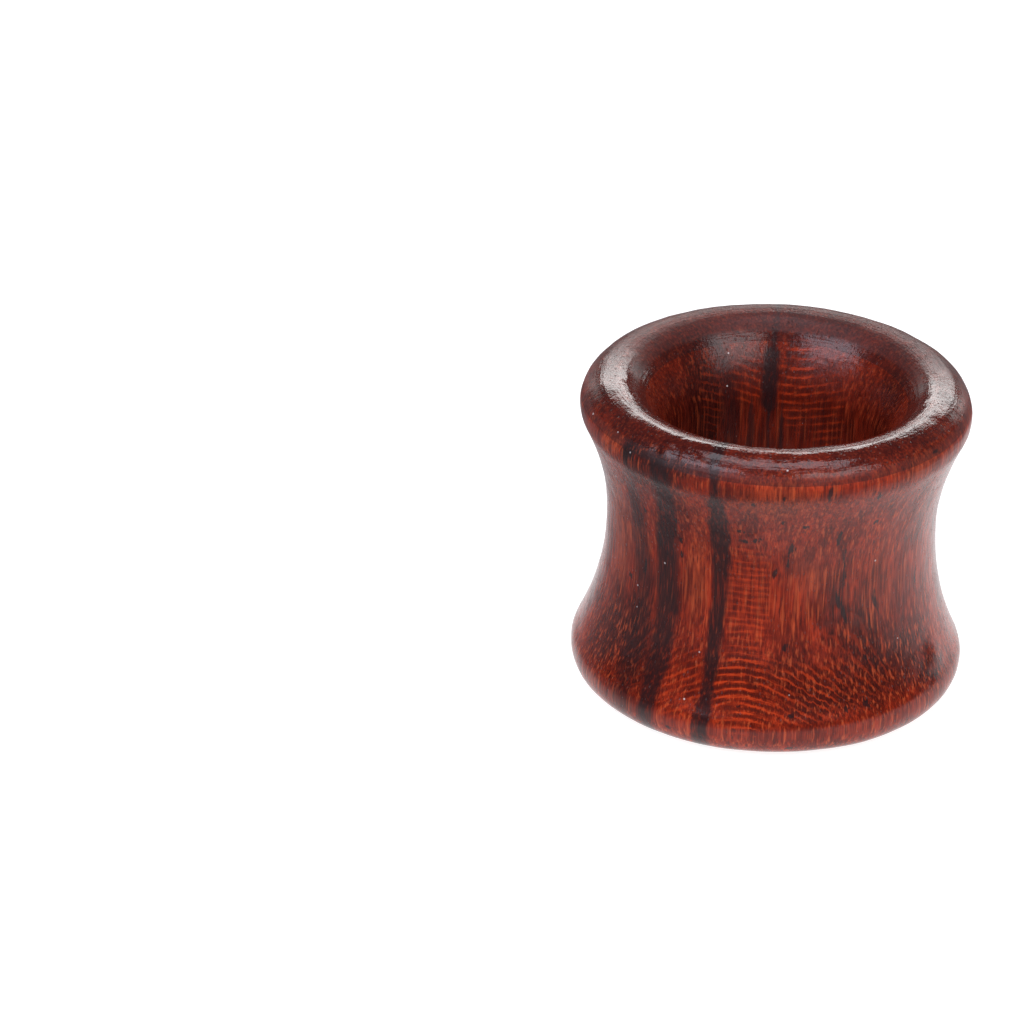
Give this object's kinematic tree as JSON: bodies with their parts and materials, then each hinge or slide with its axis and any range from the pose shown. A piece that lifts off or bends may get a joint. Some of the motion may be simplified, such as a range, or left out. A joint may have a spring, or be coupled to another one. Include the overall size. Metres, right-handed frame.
{
  "type": "ear tunnel",
  "caption": "Hollow hardwood ear tunnel with a saddle-shaped outside and a rounded flare at each end, open through its middle.",
  "frame": {"origin": "on the axis, at the height of the lower end face the tunnel stands on", "axes": "+Z along the tunnel's axis, from the lower flare to the upper flare"},
  "size_m": [0.0166, 0.0166, 0.0139],
  "materials": {
    "rosewood": "red-brown hardwood with near-black stripes, sanded and lightly waxed"
  },
  "bodies": {
    "root": {"tunnel": "rosewood"}
  },
  "joints": []
}
